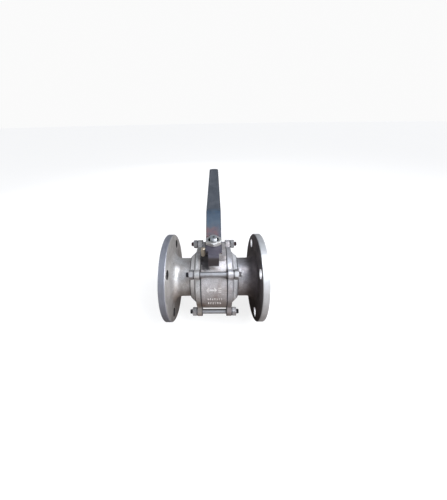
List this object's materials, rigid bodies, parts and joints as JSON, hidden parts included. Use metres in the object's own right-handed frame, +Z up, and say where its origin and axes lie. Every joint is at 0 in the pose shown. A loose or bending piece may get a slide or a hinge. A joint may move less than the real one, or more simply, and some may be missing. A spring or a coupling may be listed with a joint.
{
  "type": "flanged ball valve",
  "caption": "Flanged ball valve: a bolted body in sections with a quarter-turn ball, a stem in packing, and an offset lever that stops on a pin.",
  "frame": {"origin": "centre of the ball, where the pipe axis crosses the stem axis", "axes": "+X along the pipe towards the outlet flange, +Z up the stem, +Y along the lever when the valve is closed"},
  "size_m": [0.2032, 0.5472, 0.2335],
  "materials": {
    "body_casting": "as-cast, bead blasted stainless steel",
    "cap_casting": "cast stainless steel with machined flange rims and faces",
    "ptfe": "off-white PTFE",
    "ball_polished": "polished stainless steel",
    "stem_steel": "turned stainless steel",
    "gland_steel": "turned stainless steel",
    "spring_steel": "dull spring steel",
    "nut_steel": "bright hexagon nut steel",
    "stud_steel": "bright stud steel",
    "stop_pin_steel": "dull steel with a brown stain",
    "lever_paint": "worn slate-grey paint on flat bar"
  },
  "bodies": {
    "valve_body": {"centre_body": "body_casting", "end_cap_left": "cap_casting", "end_cap_right": "cap_casting", "body_seal_left": "ptfe", "body_seal_right": "ptfe", "seat_ring_left": "ptfe", "seat_ring_right": "ptfe", "stem_thrust_washer": "ptfe", "packing_ring_lower": "ptfe", "packing_ring_middle": "ptfe", "packing_ring_upper": "ptfe", "packing_gland": "gland_steel", "stop_pin": "stop_pin_steel", "tie_studs": "stud_steel", "stud_nuts_left": "nut_steel", "stud_nuts_right": "nut_steel", "spring_washers_left": "spring_steel", "spring_washers_right": "spring_steel"},
    "lever_and_stem": {"lever": "lever_paint", "stem": "stem_steel", "stem_nut": "nut_steel", "gland_nut": "nut_steel", "lock_tab_washer": "spring_steel", "disc_spring_lower": "spring_steel", "disc_spring_upper": "spring_steel"},
    "ball": {"ball": "ball_polished"}
  },
  "joints": [
    {"name": "lever_turn", "type": "hinge", "parent": "valve_body", "child": "lever_and_stem", "pos_m": [0, 0, 0.087], "axis": [0, 0, 1], "range_deg": [0, 90]},
    {"name": "ball_turn", "type": "hinge", "parent": "valve_body", "child": "ball", "pos_m": [0, 0, 0], "axis": [0, 0, 1], "range_deg": [0, 90]}
  ],
  "couplings": [
    {"joint": "ball_turn", "follows": "lever_turn", "ratio": 1}
  ]
}
